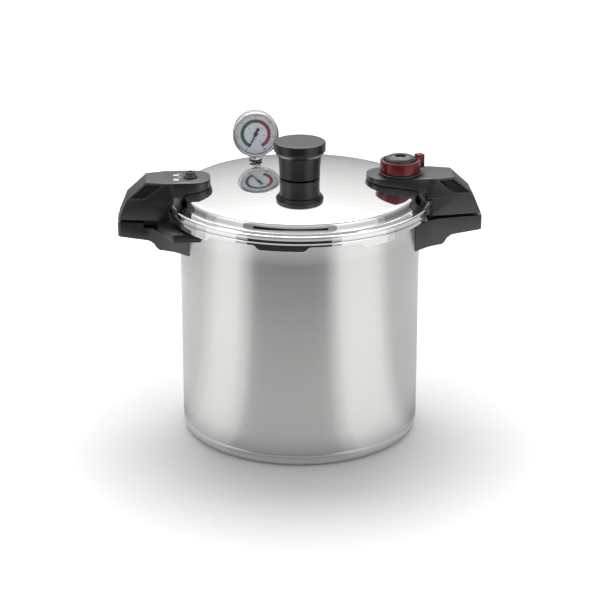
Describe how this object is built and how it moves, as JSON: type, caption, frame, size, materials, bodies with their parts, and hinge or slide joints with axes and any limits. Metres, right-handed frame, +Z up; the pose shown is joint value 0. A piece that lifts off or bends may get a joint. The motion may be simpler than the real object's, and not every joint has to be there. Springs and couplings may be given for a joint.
{
  "type": "pressure canner",
  "caption": "Stove-top pressure canner: deep brushed pot, polished bayonet lid with knob, dial gauge, red pressure selector, lock pin and paired black side handles.",
  "frame": {"origin": "centre of the pot's base, on the surface it stands on", "axes": "+Z up along the pot's axis; +X towards the handle with the pressure selector; -Y towards the cook, where the dial faces"},
  "size_m": [0.461, 0.3366, 0.396],
  "materials": {
    "brushed_aluminium": "satin, brushed round the pot",
    "polished_aluminium": "mirror polished aluminium",
    "bright_steel": "bright",
    "brass": "machined",
    "black_phenolic": "moulded, slightly textured satin",
    "red_plastic": "glossy",
    "grey_rubber": "matt",
    "dial_face": "printed card white with a green and red arc",
    "clear_glass": "clear",
    "needle_black": "matt"
  },
  "bodies": {
    "pot": {"pot_bracket_left": "bright_steel", "pot_bracket_right": "bright_steel", "pot_handle_left": "black_phenolic", "pot_handle_right": "black_phenolic", "pot_handle_screw_left": "bright_steel", "pot_handle_screw_right": "bright_steel", "pot_rivet_left_back": "bright_steel", "pot_rivet_left_front": "bright_steel", "pot_rivet_right_back": "bright_steel", "pot_rivet_right_front": "bright_steel", "pot_shell": "brushed_aluminium"},
    "rack": {"canning_rack": "brushed_aluminium"},
    "gasket": {"lid_gasket": "grey_rubber"},
    "lid": {"gauge_bezel": "bright_steel", "gauge_bourdon_tube": "brass", "gauge_case": "bright_steel", "gauge_dial": "dial_face", "gauge_lens": "clear_glass", "gauge_movement_plate": "brass", "gauge_nut": "brass", "gauge_stem": "bright_steel", "gauge_washer": "grey_rubber", "knob_body": "black_phenolic", "knob_cap": "black_phenolic", "knob_insert": "brass", "knob_screw": "bright_steel", "knob_washer": "bright_steel", "lid_handle_left": "black_phenolic", "lid_handle_right": "black_phenolic", "lid_handle_screw_left_back": "bright_steel", "lid_handle_screw_left_front": "bright_steel", "lid_handle_screw_right_back": "bright_steel", "lid_handle_screw_right_front": "bright_steel", "lid_shell": "polished_aluminium", "lock_bush": "bright_steel", "lock_collar": "black_phenolic", "overpressure_plug": "grey_rubber", "regulator_base": "black_phenolic", "regulator_housing": "black_phenolic", "regulator_spring": "bright_steel", "vent_nut": "brass", "vent_pipe": "bright_steel"},
    "selector": {"selector_ring": "red_plastic"},
    "valve": {"regulator_valve": "bright_steel"},
    "lock_pin": {"lock_pin": "bright_steel", "lock_pin_seal": "grey_rubber"},
    "sector": {"gauge_sector_gear": "brass"},
    "needle": {"gauge_needle": "needle_black"}
  },
  "joints": [
    {"name": "rack_lift", "type": "slide", "parent": "pot", "child": "rack", "axis": [0, 0, 1], "range_m": [0, 0.25]},
    {"name": "lid_lift", "type": "slide", "parent": "pot", "child": "gasket", "axis": [0, 0, 1], "range_m": [0, 0.33]},
    {"name": "lid_turn", "type": "hinge", "parent": "gasket", "child": "lid", "pos_m": [0, 0, 0.302], "axis": [0, 0, 1], "range_deg": [0, 22.5]},
    {"name": "selector_turn", "type": "hinge", "parent": "lid", "child": "selector", "pos_m": [0.1275, 0, 0.347], "axis": [0, 0, 1], "range_deg": [-120, 0]},
    {"name": "valve_lift", "type": "slide", "parent": "lid", "child": "valve", "axis": [0, 0, 1], "range_m": [0, 0.0015], "stiffness_N_per_m": 300, "springref_m": -0.003, "deforming": ["regulator_spring"]},
    {"name": "lock_pin_rise", "type": "slide", "parent": "lid", "child": "lock_pin", "axis": [0, 0, 1], "range_m": [0, 0.0035]},
    {"name": "sector_turn", "type": "hinge", "parent": "lid", "child": "sector", "pos_m": [-0.0346, 0.092, 0.366], "axis": [0, 1, 0], "range_deg": [-37.5, 0]},
    {"name": "needle_turn", "type": "hinge", "parent": "lid", "child": "needle", "pos_m": [-0.052, 0.092, 0.366], "axis": [0, 1, 0], "range_deg": [0, 300]}
  ],
  "couplings": [
    {"joint": "needle_turn", "follows": "sector_turn", "ratio": -8}
  ]
}
